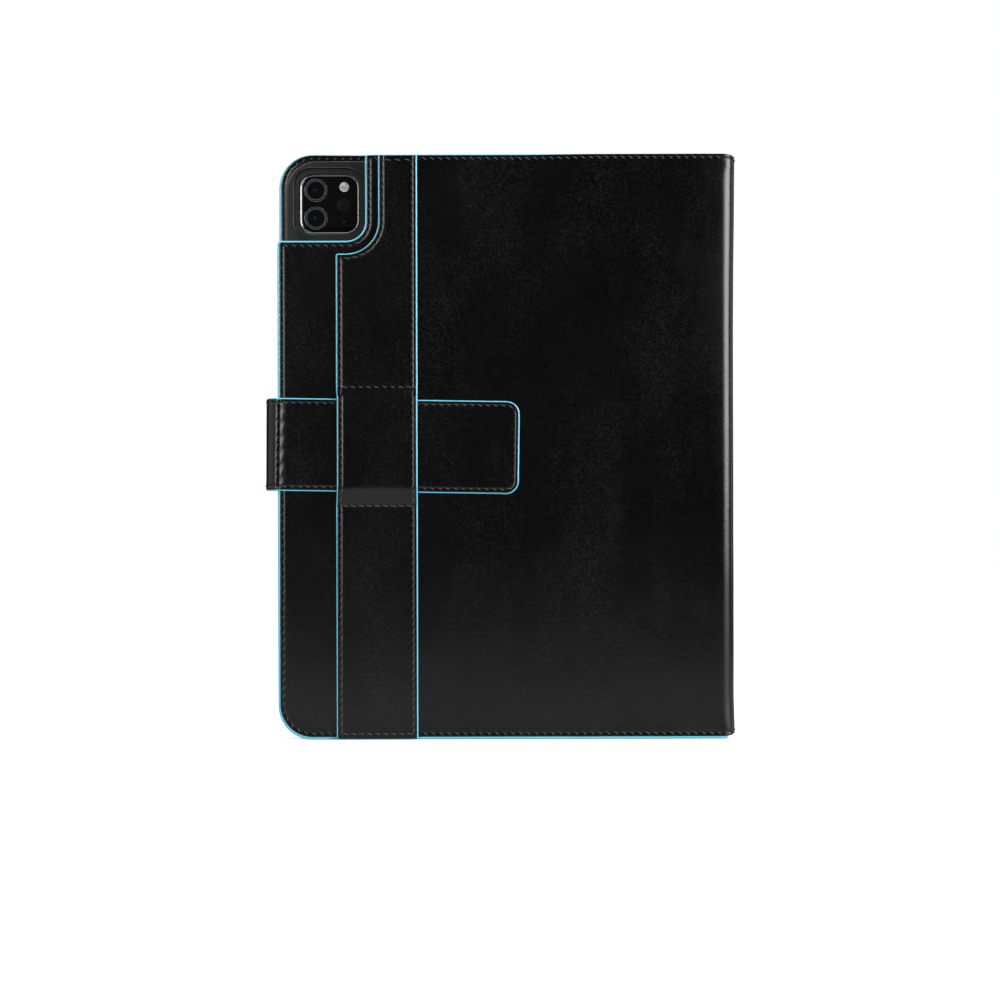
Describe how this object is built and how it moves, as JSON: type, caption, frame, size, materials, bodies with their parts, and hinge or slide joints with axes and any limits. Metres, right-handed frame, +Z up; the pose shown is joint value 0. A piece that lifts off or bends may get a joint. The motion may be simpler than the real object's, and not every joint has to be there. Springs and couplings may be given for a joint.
{
  "type": "tablet case",
  "caption": "Book-style leather tablet case with a hard tray, a camera notch, and a closing strap that slips under a keeper band on its back.",
  "frame": {"origin": "middle of the bottom edge of the back panel's board, which the closed case stands on", "axes": "+Z up along the spine, the back panel faces -Y, the front cover faces +Y, and the spine is on the +X side"},
  "size_m": [0.2329, 0.0237, 0.2908],
  "materials": {
    "black_leather": "smooth satin full-grain leather",
    "edge_painted_leather": "leather with a turquoise painted edge",
    "edge_painted_board": "stiff board with a turquoise painted edge",
    "microfibre_lining": "short-napped microfibre",
    "shell_plastic": "fine matte moulded plastic",
    "grey_aluminium": "bead-blasted and anodised",
    "black_glass": "polished black glass",
    "lens_glass": "coated lens glass",
    "flash_glass": "frosted diffuser",
    "magnet_metal": "nickel plated",
    "waxed_thread": "dark grey waxed thread"
  },
  "bodies": {
    "back": {"back_leather": "black_leather", "back_board": "edge_painted_board", "back_lining": "microfibre_lining", "keeper_band": "black_leather", "keeper_backing": "edge_painted_leather", "tray_shell": "shell_plastic", "tray_liner": "microfibre_lining", "tablet_housing": "grey_aluminium", "tablet_glass": "black_glass", "camera_rim": "grey_aluminium", "camera_plate": "black_glass", "lens_wide": "lens_glass", "lens_ultrawide": "lens_glass", "camera_flash": "flash_glass", "depth_sensor": "lens_glass"},
    "spine": {"spine_leather": "black_leather", "spine_board": "edge_painted_board", "spine_lining": "microfibre_lining"},
    "cover": {"cover_leather": "black_leather", "cover_board": "edge_painted_board", "cover_lining": "microfibre_lining", "wake_magnet_upper": "magnet_metal", "wake_magnet_lower": "magnet_metal", "strap_anchor": "black_leather"},
    "wrap": {"strap_wrap": "black_leather"},
    "tab": {"strap_tab": "black_leather", "strap_tab_backing": "edge_painted_leather"},
    "power_key": {"power_button": "grey_aluminium"},
    "volume_up_key": {"volume_up_button": "grey_aluminium"},
    "volume_down_key": {"volume_down_button": "grey_aluminium"}
  },
  "joints": [
    {"name": "back_fold", "type": "hinge", "parent": "back", "child": "spine", "pos_m": [0.11171, -0.00121, 0.1453], "axis": [0, 0, -1], "range_deg": [0, 90]},
    {"name": "cover_fold", "type": "hinge", "parent": "spine", "child": "cover", "pos_m": [0.11171, 0.01341, 0.1453], "axis": [0, 0, -1], "range_deg": [0, 90]},
    {"name": "strap_fold", "type": "hinge", "parent": "cover", "child": "wrap", "pos_m": [-0.1184, 0.0153, 0.1468], "axis": [0, 0, -1], "range_deg": [0, 90], "deforming": ["strap_wrap"]},
    {"name": "tab_fold", "type": "hinge", "parent": "wrap", "child": "tab", "pos_m": [-0.1184, -0.0031, 0.1468], "axis": [0, 0, -1], "range_deg": [0, 90], "deforming": ["strap_tab", "strap_tab_backing"]},
    {"name": "power_press", "type": "slide", "parent": "back", "child": "power_key", "axis": [0, 0, -1], "range_m": [0, 0.0003], "stiffness_N_per_m": 1500},
    {"name": "volume_up_press", "type": "slide", "parent": "back", "child": "volume_up_key", "axis": [1, 0, 0], "range_m": [0, 0.0003], "stiffness_N_per_m": 1500},
    {"name": "volume_down_press", "type": "slide", "parent": "back", "child": "volume_down_key", "axis": [1, 0, 0], "range_m": [0, 0.0003], "stiffness_N_per_m": 1500}
  ],
  "couplings": [
    {"joint": "tab_fold", "follows": "strap_fold", "ratio": 1}
  ]
}
